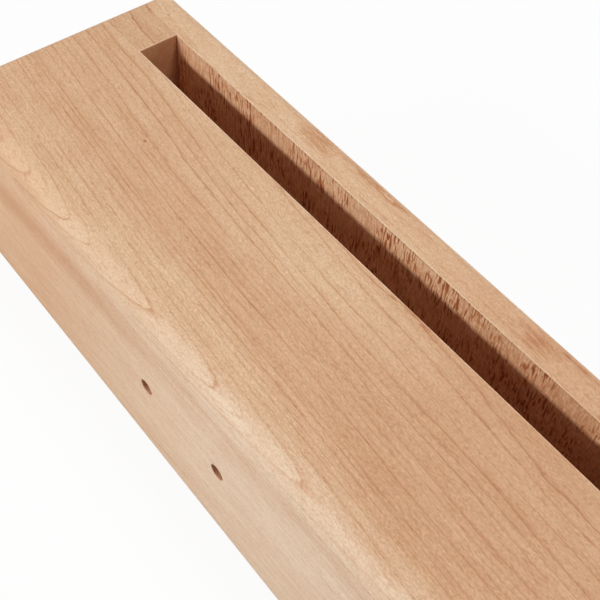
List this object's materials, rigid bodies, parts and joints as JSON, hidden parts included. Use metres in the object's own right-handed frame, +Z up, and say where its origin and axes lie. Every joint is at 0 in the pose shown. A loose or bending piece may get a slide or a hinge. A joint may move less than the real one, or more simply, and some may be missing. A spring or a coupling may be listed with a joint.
{
  "type": "wood block",
  "caption": "Maple wood block: a thick body and a thin playing plate with a long resonating slot between them, and pilot holes in its mounting face for a stand bracket.",
  "frame": {"origin": "on the surface that the block lies on, under the middle of the block as it lies on its back with the slot facing up", "axes": "+X along the block, +Y out of the playing face, +Z up out of the face that the slot opens in"},
  "size_m": [0.2286, 0.0762, 0.0667],
  "materials": {
    "body_maple": "planed, rounded and oiled to a satin",
    "plate_maple": "planed, rounded and oiled to a satin",
    "spacer_maple": "sawn and oiled"
  },
  "bodies": {
    "root": {"body_block": "body_maple", "playing_plate": "plate_maple", "slot_back_rail": "spacer_maple", "end_block_left": "spacer_maple", "end_block_right": "spacer_maple"}
  },
  "joints": []
}
